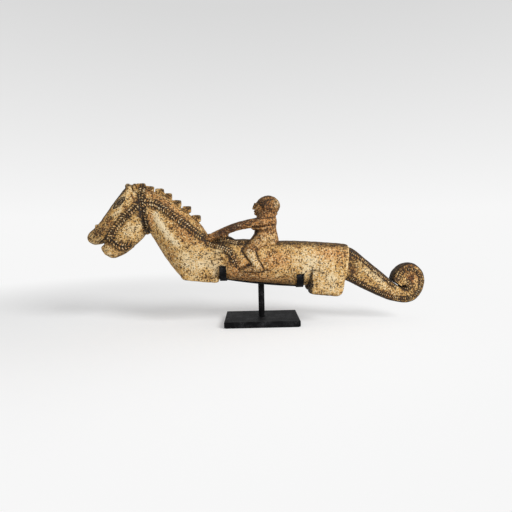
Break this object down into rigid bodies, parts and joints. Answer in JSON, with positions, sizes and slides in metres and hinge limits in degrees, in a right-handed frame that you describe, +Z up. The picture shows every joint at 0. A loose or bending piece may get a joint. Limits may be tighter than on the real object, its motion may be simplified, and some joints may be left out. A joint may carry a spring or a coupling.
{
  "type": "carved horse and rider on a stand",
  "caption": "Long carved wooden horse with a rider, saw-tooth mane and coiled tail, resting on a black steel plate stand with a post and belly clips; the carving lifts off.",
  "frame": {"origin": "middle of the stand's underside, on the shelf", "axes": "+Z up, the horse's head towards -X and its tail towards +X, +Y to the far side"},
  "size_m": [0.5449, 0.09, 0.2315],
  "materials": {
    "felt": "pressed felt",
    "black_steel": "matte black, lightly textured",
    "screw_steel": "plain steel",
    "horse_wood": "weathered, worn pale on the high spots and dark in the cuts",
    "rider_wood": "weathered red-brown",
    "tail_wood": "weathered with dark edges",
    "peg_wood": "plain turned"
  },
  "bodies": {
    "stand": {"base_felt": "felt", "base_plate": "black_steel", "post": "black_steel", "post_screw": "screw_steel", "cradle_bar": "black_steel", "front_clip": "black_steel", "rear_clip": "black_steel"},
    "carving": {"horse_body": "horse_wood", "rider": "rider_wood", "rider_dowel": "peg_wood", "tail": "tail_wood", "tail_peg": "peg_wood"}
  },
  "joints": [
    {"name": "carving_lift", "type": "slide", "parent": "stand", "child": "carving", "axis": [0, 0, 1], "range_m": [0, 0.06]}
  ]
}
